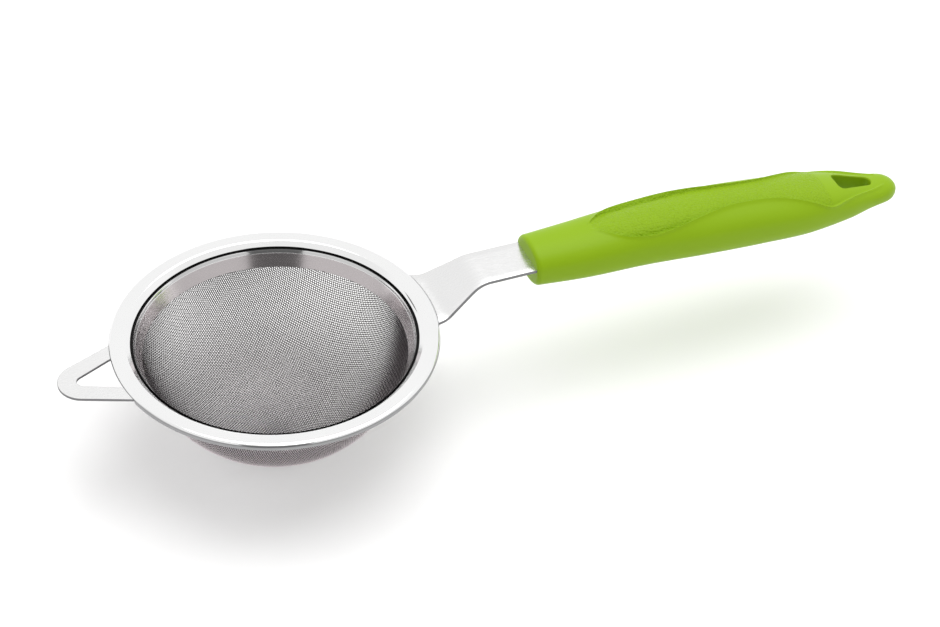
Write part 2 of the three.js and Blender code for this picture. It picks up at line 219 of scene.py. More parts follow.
def scaled_noise(tree, vector, scale, detail=2.0, roughness=0.5):
    made = node(tree, "ShaderNodeTexNoise", [("Vector", vector)])
    made.inputs["Scale"].default_value = scale
    made.inputs["Detail"].default_value = detail
    made.inputs["Roughness"].default_value = roughness
    return made.outputs["Fac"]


def spread(tree, source, low, high):
    """Maps noise, which stays mostly between 0.3 and 0.7, to low..high."""
    made = node(tree, "ShaderNodeMapRange", [("Value", source)])
    made.inputs["From Min"].default_value = 0.3
    made.inputs["From Max"].default_value = 0.7
    made.inputs["To Min"].default_value = low
    made.inputs["To Max"].default_value = high
    return made.outputs["Result"]


def two_colours(tree, factor, low, high):
    made = node(tree, "ShaderNodeMix", data_type="RGBA")
    tree.links.new(factor, made.inputs["Factor"])
    made.inputs["A"].default_value = (*low, 1)
    made.inputs["B"].default_value = (*high, 1)
    return made.outputs["Result"]


def bump(tree, shader, height, strength, distance):
    made = node(tree, "ShaderNodeBump", [("Height", height)])
    made.inputs["Strength"].default_value = strength
    made.inputs["Distance"].default_value = distance
    tree.links.new(made.outputs["Normal"], shader.inputs["Normal"])


# ---- Materials -------------------------------------------------------------------------------
def ring_coordinates(tree):
    """Object place, and coordinates out from the rim's axis and up it, in which noise makes rings."""
    place = node(tree, "ShaderNodeTexCoord").outputs["Object"]
    shifted = node(tree, "ShaderNodeVectorMath", [(0, place)], operation="SUBTRACT")
    shifted.inputs[1].default_value = (ORIGIN.x, ORIGIN.y, 0)
    flat = node(tree, "ShaderNodeVectorMath", [(0, shifted.outputs[0])], operation="MULTIPLY")
    flat.inputs[1].default_value = (1, 1, 0)
    radius = node(tree, "ShaderNodeVectorMath", [(0, flat.outputs[0])], operation="LENGTH")
    height = node(tree, "ShaderNodeSeparateXYZ", [(0, shifted.outputs[0])])
    joined = node(
        tree, "ShaderNodeCombineXYZ", [("X", radius.outputs["Value"]), ("Z", height.outputs["Z"])]
    )
    return place, joined.outputs["Vector"]


def turned_steel(name, dark, light, rough, ring_scale, ring_depth):
    """Steel polished on a lathe: faint rings and a slow change of tone."""
    material, tree, shader = new_material(name)
    place, rings = ring_coordinates(tree)
    tone = scaled_noise(tree, place, 45, 3)
    fine = scaled_noise(tree, rings, ring_scale, 3, 0.7)
    tree.links.new(two_colours(tree, tone, dark, light), shader.inputs["Base Color"])
    tree.links.new(spread(tree, fine, *rough), shader.inputs["Roughness"])
    bump(tree, shader, fine, 0.25, ring_depth)
    shader.inputs["Metallic"].default_value = 1
    return material


def satin_steel(name, dark, light, rough, grain):
    """Rolled sheet with grain along the handle."""
    material, tree, shader = new_material(name)
    place = node(tree, "ShaderNodeTexCoord").outputs["Object"]
    drawn = node(tree, "ShaderNodeVectorMath", [(0, place)], operation="MULTIPLY")
    drawn.inputs[1].default_value = grain
    fine = scaled_noise(tree, drawn.outputs[0], 1, 3, 0.6)
    tone = scaled_noise(tree, place, 60, 2)
    tree.links.new(two_colours(tree, tone, dark, light), shader.inputs["Base Color"])
    tree.links.new(spread(tree, fine, *rough), shader.inputs["Roughness"])
    bump(tree, shader, fine, 0.2, 0.00002)
    shader.inputs["Metallic"].default_value = 1
    return material


def wire_steel():
    """Drawn wire with painted shade and highlight: colour bright where its crowns stand out of the
    cloth, near black in the valleys of the weave.
    """
    material, tree, shader = new_material("wire_steel")
    centre_z, radius = bowl_sphere()
    place = node(tree, "ShaderNodeTexCoord").outputs["Object"]
    reach = node(tree, "ShaderNodeVectorMath", [(0, place)], operation="DISTANCE")
    reach.inputs[1].default_value = ORIGIN + Vector((0, 0, centre_z)) * MM
    offset = node(tree, "ShaderNodeMath", [(0, reach.outputs["Value"])], operation="SUBTRACT")
    offset.inputs[1].default_value = radius * MM
    inward = node(tree, "ShaderNodeMath", [(0, offset.outputs[0])], operation="MULTIPLY")
    inward.inputs[1].default_value = -1
    # On the outside the colour turns bright nearer the mid surface: painted light.
    outward = node(tree, "ShaderNodeMath", [(0, offset.outputs[0])], operation="MULTIPLY")
    outward.inputs[1].default_value = OUTSIDE_PAINTED_LIGHT
    either_side = [(0, inward.outputs[0]), (1, outward.outputs[0])]
    stand = node(tree, "ShaderNodeMath", either_side, operation="MAXIMUM")
    height = [("Value", stand.outputs[0])]
    crown_light_mask = node(tree, "ShaderNodeMapRange", height, interpolation_type="SMOOTHSTEP")
    crown_light_mask.inputs["From Min"].default_value = CROWN_START * MM
    crown_light_mask.inputs["From Max"].default_value = CROWN_END * MM
    drift = scaled_noise(tree, place, 120, 2)
    painted_valley_shade, dim_crown, bright_crown = (0.05, 0.045, 0.047), (0.92, 0.835, 0.865), (0.97, 0.885, 0.915)
    bright = two_colours(tree, drift, dim_crown, bright_crown)
    # Painted shade in the valleys and painted highlight on the crowns, mixed by the wire's height out of
    # the cloth.
    joined = node(tree, "ShaderNodeMix", data_type="RGBA")
    tree.links.new(crown_light_mask.outputs["Result"], joined.inputs["Factor"])
    joined.inputs["A"].default_value = (*painted_valley_shade, 1)
    tree.links.new(bright, joined.inputs["B"])
    tree.links.new(joined.outputs["Result"], shader.inputs["Base Color"])
    drawn = scaled_noise(tree, place, 9000, 2, 0.6)
    tree.links.new(spread(tree, drawn, 0.25, 0.34), shader.inputs["Roughness"])
    bump(tree, shader, drawn, 0.2, 0.000003)
    shader.inputs["Metallic"].default_value = 1
    return material


def lime_plastic(name, grain_scale, grain_strength, grain_depth, rough):
    """Moulded plastic: even colour with a slow drift, and the grain of its mould."""
    material, tree, shader = new_material(name)
    place = node(tree, "ShaderNodeTexCoord").outputs["Object"]
    drift = scaled_noise(tree, place, 30, 2)
    grain = scaled_noise(tree, place, grain_scale, 2, 0.6)
    tree.links.new(
        two_colours(tree, drift, (0.228, 0.388, 0.003), (0.250, 0.412, 0.004)),
        shader.inputs["Base Color"],
    )
    tree.links.new(spread(tree, grain, *rough), shader.inputs["Roughness"])
    bump(tree, shader, grain, grain_strength, grain_depth)
    shader.inputs["Specular IOR Level"].default_value = 0.18
    return material


# ---- Mesh helpers ----------------------------------------------------------------------------
def add_piece(name, points, faces, materials, stands_for, face_slots=None, sharp=35):
    """A mesh object from points in millimetres; it rides on the root and stands for CAD nodes."""
    mesh = bpy.data.meshes.new(name)
    metres = np.asarray(points, float) * MM + np.array(ORIGIN)
    mesh.from_pydata(metres.tolist(), [], faces)
    mesh.validate()
    for material in materials:
        mesh.materials.append(material)
    if face_slots is not None:
        mesh.polygons.foreach_set("material_index", np.asarray(face_slots, np.int32))
    mesh.polygons.foreach_set("use_smooth", np.ones(len(mesh.polygons), bool))
    if sharp:
        mesh.set_sharp_from_angle(angle=math.radians(sharp))
    made = bpy.data.objects.new(name, mesh)
    bpy.context.scene.collection.objects.link(made)
    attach(made, "root")
    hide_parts(*stands_for)
    return made


def arc(centre_x, centre_y, radius, start, end, steps):
    """Points on an arc, angles in degrees."""
    angles = np.radians(np.linspace(start, end, steps + 1))
    return [(centre_x + radius * math.cos(a), centre_y + radius * math.sin(a)) for a in angles]


def grid_faces(rows, columns, wrap_rows=False, wrap_columns=False):
    """Quads over a grid of points numbered row by row."""
    last_row = rows if wrap_rows else rows - 1
    last_column = columns if wrap_columns else columns - 1
    faces = []
    for i in range(last_row):
        upper = ((i + 1) % rows) * columns
        for j in range(last_column):
            right = (j + 1) % columns
            faces.append((i * columns + j, i * columns + right, upper + right, upper + j))
    return faces


def turn_profile(profile, segments):
    """Points and quads of a closed (radius, height) profile turned about the rim's axis."""
    profile = np.asarray(profile, float)
    angles = np.linspace(0, 2 * math.pi, segments, endpoint=False)
    radius = profile[:, 0][None, :]
    points = np.stack(
        [
            radius * np.cos(angles)[:, None],
            radius * np.sin(angles)[:, None],
            np.broadcast_to(profile[:, 1], (segments, len(profile))),
        ],
        axis=-1,
    )
    return points, grid_faces(segments, len(profile), wrap_rows=True, wrap_columns=True)


def smooth_table(table, x):
    """Reads a table of (x, value, ...) rows at x with a cubic through its rows."""
    table = np.asarray(table, float)
    xs, values = table[:, 0], table[:, 1:]
    slopes = np.gradient(values, xs, axis=0)
    x = np.clip(np.asarray(x, float), xs[0], xs[-1])
    i = np.clip(np.searchsorted(xs, x) - 1, 0, len(xs) - 2)
    width = (xs[i + 1] - xs[i])[..., None]
    t = ((x - xs[i]) / (xs[i + 1] - xs[i]))[..., None]
    return (
        (2 * t**3 - 3 * t**2 + 1) * values[i]
        + (t**3 - 2 * t**2 + t) * width * slopes[i]
        + (3 * t**2 - 2 * t**3) * values[i + 1]
        + (t**3 - t**2) * width * slopes[i + 1]
    )


# ---- Rim -------------------------------------------------------------------------------------
def cone_radius(z):
    """Radius of the band's inner face at a height."""
    slope = (BAND_TOP_R - BAND_BOTTOM_R) / (BAND_TOP_Z - BAND_BOTTOM_Z)
    return BAND_TOP_R + slope * (z - BAND_TOP_Z)


def rim_profile():
    """Skirt, hem, groove, collar, flange and lip as (radius, height), with each point's material."""
    slope_drop = COLLAR_DROP - COLLAR_BEND_R * (1 - math.cos(COLLAR_ANGLE))
    slope_run = slope_drop / math.tan(COLLAR_ANGLE)
    bend_x = OPENING_R + slope_run + COLLAR_BEND_R * math.sin(COLLAR_ANGLE)
    lip_x = RIM_R - LIP_CORNER_R
    inner_lip = RIM_R - RIM_SHEET
    skirt_inner = [cone_radius(z) + SKIRT_OFFSET for z in (SKIRT_Z, -HEM_BOTTOM_DROP)]
    hem_r = (GROOVE_INNER_R - HEM_TOP_R) / 2
    profile = [(skirt_inner[0], SKIRT_Z), (skirt_inner[1], -HEM_BOTTOM_DROP)]
    profile += arc(HEM_BOTTOM_R + EDGE_R, -HEM_BOTTOM_DROP + EDGE_R, EDGE_R, 270, 180, 4)
    for share in np.linspace(0.15, 0.85, 8):
        bulge = HEM_CROWN * math.sin(share * math.pi)
        run_r = HEM_BOTTOM_R + share * (HEM_TOP_R - HEM_BOTTOM_R)
        profile.append((run_r - bulge, -HEM_BOTTOM_DROP + share * (HEM_BOTTOM_DROP - HEM_TOP_DROP)))
    # The hem's upper part and the groove are coloured near black, painted shade standing in for the
    # shadow in the gap.
    groove_start = 1 + min(i for i, (_, z) in enumerate(profile) if z > -HEM_SHADE_DROP)
    profile += arc(HEM_TOP_R + hem_r, -HEM_TOP_DROP - hem_r, hem_r, 160, 0, 6)
    profile += [(GROOVE_INNER_R, -GROOVE_DROP), (OPENING_R, -GROOVE_DROP)]
    profile.append((OPENING_R, -COLLAR_DROP - EDGE_R))
    groove_end = len(profile)
    edge_rise = EDGE_R * math.tan(COLLAR_ANGLE)
    profile.append((OPENING_R + EDGE_R / 3, -COLLAR_DROP + edge_rise / 3))
    profile.append((OPENING_R + EDGE_R, -COLLAR_DROP + edge_rise))
    collar_turn = 90 + math.degrees(COLLAR_ANGLE)
    profile += arc(bend_x, -COLLAR_BEND_R, COLLAR_BEND_R, collar_turn, 90, 12)
    profile += [(bend_x + EDGE_R, 0), (lip_x - EDGE_R, 0)]
    profile += arc(lip_x, -LIP_CORNER_R, LIP_CORNER_R, 90, 0, 14)
    lip_start = len(profile) - LIP_SHADE_STEPS
    profile += arc(RIM_R - EDGE_R, -LIP_DROP + EDGE_R, EDGE_R, 0, -90, 3)
    lip_end = len(profile)
    profile += arc(inner_lip + EDGE_R, -LIP_DROP + EDGE_R, EDGE_R, -90, -180, 3)
    profile += [(inner_lip, -RIM_SHEET), (bend_x, -RIM_SHEET)]
    profile += [(OPENING_R + RIM_SHEET, -GROOVE_DROP), (skirt_inner[0] + RIM_SHEET, SKIRT_Z)]
    slots = [0] * len(profile)
    # Slot 1 carries the groove's painted shade, slot 2 the lip's painted shade.
    slots[groove_start:groove_end] = [1] * (groove_end - groove_start)
    slots[lip_start:lip_end] = [2] * (lip_end - lip_start)
    return profile, slots


def make_rim():
    profile, slots = rim_profile()
    points, faces = turn_profile(profile, RIM_SEGMENTS)
    # The lip is cut away where the ear and the shank's foot pass under the flange.
    x, y, z = points[..., 0], points[..., 1], points[..., 2]
    half = np.where(x > 0, FOOT_HALF_WIDTH, EAR_HALF_WIDTH) + NOTCH_SLACK
    open_share = np.clip((half - np.abs(y)) / NOTCH_RUN + 1, 0, 1)
    open_share = open_share * open_share * (3 - 2 * open_share)
    lip = np.hypot(x, y) > RIM_R - RIM_SHEET - 0.01
    lowest = -LIP_DROP + open_share * (LIP_DROP - RIM_SHEET)
    points[..., 2] = np.where(lip, np.maximum(z, lowest), z)
    add_piece(
        "rim_ring", points.reshape(-1, 3), faces, [MIRROR, GROOVE_SHADE, SHADED_LIP], ["rim_flange"],
        slots * RIM_SEGMENTS,
    )


def make_band():
    top, bottom = BAND_TOP_Z, BAND_BOTTOM_Z
    half = BAND_SHEET / 2
    profile = [(cone_radius(top) + BAND_SHEET, top), (cone_radius(top) + BAND_EDGE_R, top)]
    profile += [(cone_radius(top - BAND_EDGE_R), top - BAND_EDGE_R), (cone_radius(top - 0.2), top - 0.2)]
    profile += arc(cone_radius(bottom + half) + half, bottom + half, half, 180, 360, 8)
    points, faces = turn_profile(profile, BAND_SEGMENTS)
    add_piece(
        "retaining_band", points.reshape(-1, 3), faces, [BAND], ["mesh_retaining_band"]
    )


# ---- Woven bowl ------------------------------------------------------------------------------
def bowl_sphere():
    """Centre height and radius of the cloth's mid surface, through its bend and its bottom."""
    bottom = BOWL_BOTTOM_Z + CLOTH / 2
    rise = BAND_BOTTOM_Z - bottom
    radius = (CLOTH_BEND_R**2 + rise**2) / (2 * rise)
    return bottom + radius, radius


def cloth_bend_angle():
    """Angle from straight down to the cloth's bend, at the bowl's centre."""
    return math.atan2(CLOTH_BEND_R, bowl_sphere()[0] - BAND_BOTTOM_Z)


def cloth_net():
    """Where the crossings of warp and weft lie on the pressed bowl, and the outward normal there.

    Wires don't stretch, so every mesh of the flat cloth shears into a rhombus with sides of one pitch:
    each crossing is its inner neighbour turned half round about the middle of the two beside it."""
    radius = bowl_sphere()[1]
    step = 2 * math.asin(WIRE_PITCH / (2 * radius))
    count = int(cloth_reach() / WIRE_PITCH)
    net = np.full((2 * count + 1, 2 * count + 1, 3), np.nan)
    turn_cos, turn_sin = math.cos(WEAVE_TURN), math.sin(WEAVE_TURN)
    k = np.arange(-count, count + 1)[:, None] * step
    down = np.array([0, 0, -1.0])
    net[:, count] = np.sin(k) * [turn_cos, turn_sin, 0] + np.cos(k) * down
    net[count, :] = np.sin(k) * [-turn_sin, turn_cos, 0] + np.cos(k) * down
    highest = math.cos(cloth_reach() / radius)
    for i in range(1, count + 1):
        for j in range(1, count + 1):
            for a, b in ((1, 1), (1, -1), (-1, 1), (-1, -1)):
                row, column = count + a * i, count + b * j
                beside = net[row, column - b] + net[row - a, column]
                inner = net[row - a, column - b]
                middle = beside / math.sqrt(beside @ beside)
                outer = 2 * (middle @ inner) * middle - inner
                if -outer[2] > highest:
                    net[row, column] = outer
    return net


def on_cloth(direction):
    """Point and outward normal on the cloth for directions from the bowl's centre.

    Past the bend the cloth goes up a cone, on which the distance from the bowl's bottom is kept."""
    centre_z, radius = bowl_sphere()
    heading = np.arctan2(direction[..., 1], direction[..., 0])
    full_angle = np.arccos(np.clip(-direction[..., 2], -1, 1))
    angle = np.minimum(full_angle, cloth_bend_angle())
    on_cone = (full_angle - angle) * radius
    cone_run = np.array([BAND_TOP_R - BAND_BOTTOM_R, BAND_TOP_Z - BAND_BOTTOM_Z])
    cone_run /= np.linalg.norm(cone_run)
    r = radius * np.sin(angle) + on_cone * cone_run[0]
    z = centre_z - radius * np.cos(angle) + on_cone * cone_run[1]
    normal_r = np.where(on_cone > 0, cone_run[1], np.sin(angle))
    normal_z = np.where(on_cone > 0, -cone_run[0], -np.cos(angle))
    point = np.stack([r * np.cos(heading), r * np.sin(heading), z], axis=-1)
    normal = np.stack([normal_r * np.cos(heading), normal_r * np.sin(heading), normal_z], axis=-1)
    return point, normal


def cloth_reach():
    """Distance along the cloth from the bottom of the bowl to its clamped edge."""
    return bowl_sphere()[1] * cloth_bend_angle() + CLOTH_UNDER_BAND


def wire_rings(point, normal, over):
    """Rings of four points along a wire that goes over and under its neighbours in turn."""
    path = point + normal * (over * WIRE_R)[:, None]
    tangent = np.gradient(path, axis=0)
    tangent /= np.linalg.norm(tangent, axis=1, keepdims=True)
    sideways = np.cross(normal, tangent)
    sideways /= np.linalg.norm(sideways, axis=1, keepdims=True)
    up = np.cross(tangent, sideways)
    sides = [sideways, up, -sideways, -up]
    return np.stack([path + WIRE_R * side for side in sides], axis=1).reshape(-1, 3)


def make_wires(name, net, family):
    """Every wire of one direction as a tube of four sides."""
    points, faces, start = [], [], 0
    for across in range(net.shape[0]):
        crossings = net[across] if family else net[:, across]
        along = np.flatnonzero(~np.isnan(crossings[:, 0]))
        if len(along) < 3:
            continue
        point, normal = on_cloth(crossings[along])
        over = np.where((along + across + family) % 2 == 0, 1.0, -1.0)
        points.append(wire_rings(point, normal, over))
        wire = np.asarray(grid_faces(len(along), 4, wrap_columns=True)) + start
        last = start + 4 * (len(along) - 1)
        faces += wire.tolist()
        faces += [(start + 3, start + 2, start + 1, start), (last, last + 1, last + 2, last + 3)]
        start = last + 4
    add_piece(name, np.concatenate(points), faces, [WIRE], ["mesh_bowl"], sharp=0)


def make_bowl():
    net = cloth_net()
    make_wires("warp_wires", net, 0)
    make_wires("weft_wires", net, 1)


# ---- Cut sheet: ear and shank ----------------------------------------------------------------
def rounded_triangle_side(half_width, start_x, tip_x, tip_r):
    """Angle from the axis at which a side that starts at half_width touches the tip's circle."""
    reach = math.hypot(tip_x - start_x, half_width)
    return math.atan2(half_width, tip_x - start_x) - math.asin(tip_r / reach)


def ear_outline():
    tip_x = EAR_TIP_X - EAR_TIP_R
    leave_x = math.sqrt(RIM_R**2 - EAR_HALF_WIDTH**2)
    slope = rounded_triangle_side(EAR_HALF_WIDTH, leave_x, tip_x, EAR_TIP_R)
    touch = 90 - math.degrees(slope)
    foot = math.degrees(math.asin(EAR_HALF_WIDTH / FOOT_INNER_R))
    outline = arc(0, 0, FOOT_INNER_R, foot, -foot, 24)
    outline.append((leave_x, -EAR_HALF_WIDTH))
    outline += arc(tip_x, 0, EAR_TIP_R, -touch, touch, 40)
    outline.append((leave_x, EAR_HALF_WIDTH))
    return outline


def window_outline():
    tip_x = WINDOW_TIP_X - WINDOW_TIP_R
    slope = rounded_triangle_side(WINDOW_HALF_WIDTH, WINDOW_START_X, tip_x, WINDOW_TIP_R)
    touch = 90 - math.degrees(slope)
    start_x = WINDOW_START_X + WINDOW_CORNER_R
    centre_y = WINDOW_HALF_WIDTH - WINDOW_CORNER_R * (1 + math.sin(slope)) / math.cos(slope)
    outline = arc(start_x, centre_y, WINDOW_CORNER_R, 180, touch, 8)
    outline += arc(tip_x, 0, WINDOW_TIP_R, touch, -touch, 24)
    outline += arc(start_x, -centre_y, WINDOW_CORNER_R, -touch, -180, 8)
    return outline


def offset_outline(outline, distance):
    """The outline moved inward by a distance, for a softened edge; negative moves outward."""
    points = np.asarray(outline, float)
    before = points - np.roll(points, 1, axis=0)
    after = np.roll(points, -1, axis=0) - points
    before /= np.linalg.norm(before, axis=1, keepdims=True) + 1e-12
    after /= np.linalg.norm(after, axis=1, keepdims=True) + 1e-12
    along = before + after
    along /= np.linalg.norm(along, axis=1, keepdims=True) + 1e-12
    inward = np.stack([-along[:, 1], along[:, 0]], axis=1)
    bend = np.clip(np.sum(inward * np.stack([-before[:, 1], before[:, 0]], axis=1), axis=1), 0.5, 1)
    x, y = points.T
    area = np.sum(x * np.roll(y, -1) - y * np.roll(x, -1))
    return points + inward * (distance * math.copysign(1, area) / bend)[:, None]


def sheet_walls(outline, low, high, start, grows):
    """Rings of points down a cut edge with softened corners; grows is -1 for a hole's edge."""
    levels = [(EDGE_R, high), (EDGE_R * 0.3, high - EDGE_R * 0.3), (0, high - EDGE_R)]
    levels += [(0, low + EDGE_R), (EDGE_R * 0.3, low + EDGE_R * 0.3), (EDGE_R, low)]
    rings = []
    for inset, z in levels:
        ring = offset_outline(outline, inset * grows)
        rings.append(np.column_stack([ring, np.full(len(ring), z)]))
    count = len(outline)
    faces = np.asarray(grid_faces(len(levels), count, wrap_columns=True)) + start
    return np.concatenate(rings), faces.tolist(), (start, start + count * (len(levels) - 1), count)


def make_ear():
    outline = [(-x, -y) for x, y in ear_outline()]
    window = [(-x, -y) for x, y in window_outline()]
    low, high = EAR_BOTTOM_Z, FEET_TOP_Z
    outer, outer_faces, outer_ids = sheet_walls(outline, low, high, 0, 1)
    inner, inner_faces, inner_ids = sheet_walls(window, low, high, len(outer), -1)
    points = np.concatenate([outer, inner])
    faces = outer_faces + inner_faces
    cut = len(faces)
    for level in (0, 1):
        loops = [list(range(ids[level], ids[level] + ids[2])) for ids in (outer_ids, inner_ids)]
        polygons = [[Vector(points[i]) for i in loop] for loop in loops]
        numbers = loops[0] + loops[1]
        faces += [tuple(numbers[i] for i in triangle) for triangle in tessellate_polygon(polygons)]
    slots = [1] * cut + [0] * (len(faces) - cut)
    ear = add_piece("ear_plate", points, faces, [SHEET, CUT], ["rest_ear"], slots)
    tidy_normals(ear)


def tidy_normals(piece):
    """Turns every face of a closed mesh outward."""
    shell = bmesh.new()
    shell.from_mesh(piece.data)
    bmesh.ops.recalc_face_normals(shell, faces=shell.faces)
    shell.to_mesh(piece.data)
    shell.free()


def shank_middle():
    """Middle line of the strip in side view with its slope: foot, bend, rise, bend, straight."""
    foot_z = FEET_TOP_Z - SHANK_SHEET / 2
    rise = SHANK_TOP_Z - FEET_TOP_Z
    sine, cosine = math.sin(RISE_ANGLE), math.cos(RISE_ANGLE)
    slope_rise = rise - (LOWER_BEND_R + UPPER_BEND_R) * (1 - cosine)
    slope_run = slope_rise / math.tan(RISE_ANGLE)
    upper_x = BEND_START_X + LOWER_BEND_R * sine + slope_run + UPPER_BEND_R * sine
    turn = math.degrees(RISE_ANGLE)
    upper_bend = arc(upper_x, foot_z + rise - UPPER_BEND_R, UPPER_BEND_R, 90 + turn, 90, 12)
    path = [(x, foot_z) for x in np.linspace(FOOT_INNER_R, FOOT_FLAT_END_X, 6)]
    path += arc(BEND_START_X, foot_z + LOWER_BEND_R, LOWER_BEND_R, -90, -90 + turn, 10)
    slope_start, slope_end = np.array(path[-1]), np.array(upper_bend[0])
    path += [tuple(slope_start + (slope_end - slope_start) * t) for t in np.linspace(0.08, 0.92, 10)]
    path += upper_bend
    path += [(x, foot_z + rise) for x in np.linspace(upper_x + 1, GRIP_START_X + SHANK_INSIDE_GRIP, 12)]
    return np.asarray(path)


def shank_half_width(x):
    """Plan outline of the strip: full foot, straight flare, then a soft run into the straight part."""
    leave_x = math.sqrt(RIM_R**2 - FOOT_HALF_WIDTH**2)
    flare_ends = [FOOT_HALF_WIDTH, SHANK_HALF_WIDTH + FLARE_EXTRA]
    flare = np.interp(x, [leave_x, FLARE_END_X], flare_ends)
    t = np.clip((x - FLARE_END_X) / (STRAIGHT_START_X - FLARE_END_X), 0, 1)
    soft = SHANK_HALF_WIDTH + FLARE_EXTRA * (1 - t) ** 2
    return np.where(x < FLARE_END_X, flare, soft)


def make_shank():
    middle = shank_middle()
    slope = np.gradient(middle, axis=0)
    slope /= np.linalg.norm(slope, axis=1, keepdims=True)
    up = np.column_stack([-slope[:, 1], slope[:, 0]])
    half_t = SHANK_SHEET / 2
    corner = arc(0, 0, EDGE_R, 90, 0, 3)
    upper = [(x - EDGE_R, z - EDGE_R) for x, z in corner]
    lower = [(x, -z) for x, z in reversed(upper)]
    inner_y = [-0.66, -0.33, 0, 0.33, 0.66]
    rows = []
    for (x, z), (ux, uz) in zip(middle, up):
        width = float(shank_half_width(x))
        flat = [s * (width - EDGE_R) for s in inner_y]
        section = [(y, half_t) for y in flat]
        section += [(width + x_, half_t + z_) for x_, z_ in upper]
        section += [(width + x_, -half_t + z_) for x_, z_ in lower]
        section += [(y, -half_t) for y in reversed(flat)]
        section += [(-width - x_, -half_t + z_) for x_, z_ in reversed(lower)]
        section += [(-width - x_, half_t + z_) for x_, z_ in reversed(upper)]
        rows.append([(x + ux * h, y, z + uz * h) for y, h in section])
    points = np.asarray(rows)
    # The foot's end follows the collar.
    foot = np.clip((FOOT_FLAT_END_X - points[..., 0]) / (FOOT_FLAT_END_X - FOOT_INNER_R), 0, 1)
    collar_x = np.sqrt(FOOT_INNER_R**2 - points[..., 1] ** 2)
    points[..., 0] += foot * (collar_x - FOOT_INNER_R)
    count = points.shape[1]
    faces = grid_faces(len(rows), count, wrap_columns=True)
    total = len(rows) * count
    faces += [tuple(range(count)), tuple(range(total - 1, total - count - 1, -1))]
    per_row = section_edge_flags(len(inner_y), len(upper))
    slots = [per_row[j] for _ in range(len(rows) - 1) for j in range(count)] + [1, 1]
    shank = add_piece(
        "shank_strip", points.reshape(-1, 3), faces, [SHEET, CUT], ["handle_shank"],
        slots,
    )
    tidy_normals(shank)


def section_edge_flags(flat_count, corner_count):
    """1 for the faces of the strip's cut edges, 0 for its rolled faces, once round the section."""
    cut = [1] * (2 * corner_count - 1)
    return [0] * flat_count + cut + [0] * (flat_count + 1) + cut + [0]


# ---- Grip ------------------------------------------------------------------------------------
def round_off(into, length):
    """Quarter ellipse from 1 down to 0 over a length."""
    return np.sqrt(np.clip(1 - np.clip(into / length, 0, 1) ** 2, 0, 1))


def grip_section(x):
    """Half width, half height and centre height of the plain section at x."""
    width, height, centre_z = np.moveaxis(smooth_table(GRIP_STATIONS, x), -1, 0)
    front = FRONT_FILLET * (1 - round_off(GRIP_START_X + FRONT_FILLET - x, FRONT_FILLET))
    width = (width - front) * round_off(x - (GRIP_END_X - TAIL_PLAN_ROUND), TAIL_PLAN_ROUND)
    height = (height - front) * round_off(x - (GRIP_END_X - TAIL_SIDE_ROUND), TAIL_SIDE_ROUND)
    return width, height, centre_z


def grip_rows():
    """x of every row: close together in the front fillet and the tail."""
    fillet_x = GRIP_START_X + FRONT_FILLET
    tail_x = GRIP_END_X - TAIL_PLAN_ROUND
    front = fillet_x - FRONT_FILLET * np.cos(np.linspace(0, math.pi / 2, 8))
    middle = np.arange(fillet_x + 0.4, tail_x, 0.4)
    tail = tail_x + TAIL_PLAN_ROUND * np.sin(np.linspace(0, math.pi / 2, 26))
    return np.concatenate([front, middle, tail[:-1]])


def panel_wall(distance):
    """Share of the panel's depth at a distance in from its edge, where a steep wall goes down."""
    wall = np.clip(distance / PANEL_WALL, 0, 1)
    return wall * wall * (3 - 2 * wall)


def half_section(x):
    """Points from the top middle down one side to the bottom middle, and which faces are panel."""
    panel_columns, wall_columns, side_columns = 18, 5, 44
    width, height, centre_z = grip_section(x)
    edge = smooth_table(PANEL_EDGE, x)[..., 0]
    edge_share = np.clip(edge / np.maximum(width, 0.01), 0.02, 0.93)
    wall_share = np.clip((edge - PANEL_WALL) / np.maximum(width, 0.01), 0.01, edge_share * 0.97)
    power = SECTION_POWER / 2
    edge_angle = np.arccos(edge_share**power)
    wall_angle = np.arccos(wall_share**power)
    top = np.linspace(math.pi / 2, wall_angle, panel_columns, endpoint=False)
    wall = np.linspace(wall_angle, edge_angle, wall_columns, endpoint=False)
    side = np.linspace(edge_angle, -math.pi / 2, side_columns + 1)
    angle = np.concatenate([top, wall, side])
    y = width * np.maximum(np.cos(angle), 0) ** (2 / SECTION_POWER)
    z = height * np.sign(np.sin(angle)) * np.abs(np.sin(angle)) ** (2 / SECTION_POWER)
    # Outward normal of the plain section, for pressing the panel and the side inward.
    normal_y = (y / max(width, 0.01)) ** (SECTION_POWER - 1) / max(width, 0.01)
    share_z = np.abs(z) / max(height, 0.01)
    normal_z = np.sign(z) * share_z ** (SECTION_POWER - 1) / max(height, 0.01)
    length = np.hypot(normal_y, normal_z) + 1e-9
    run = np.concatenate([[0], np.cumsum(np.hypot(np.diff(y), np.diff(z)))])
    edge_run = run[panel_columns + wall_columns]
    inside = np.clip(edge_run - run, 0, None)
    outside = np.clip(run - edge_run, 0, None)
    depth = float(np.interp(x, *np.transpose(PANEL_DEPTH)))
    hollow = float(np.interp(x, *np.transpose(SIDE_HOLLOW)))
    fade = min(1.0, float(edge) / FADE_EDGE)
    press = depth * fade * panel_wall(inside) * (1 + EDGE_SINK * np.exp(-inside / SINK_RUN))
    press += hollow * (outside / HOLLOW_RUN) * np.exp(1 - outside / HOLLOW_RUN) * (outside > 0)
    press -= CREST_RISE * fade * np.exp(-(((run - edge_run) / CREST_SPREAD) ** 2)) * (depth > 0)
    y = np.maximum(y - press * normal_y / length, 0)
    y[0] = y[-1] = 0
    z = z - press * normal_z / length
    return np.column_stack([np.full(len(y), x), y, centre_z + z]), panel_columns + wall_columns


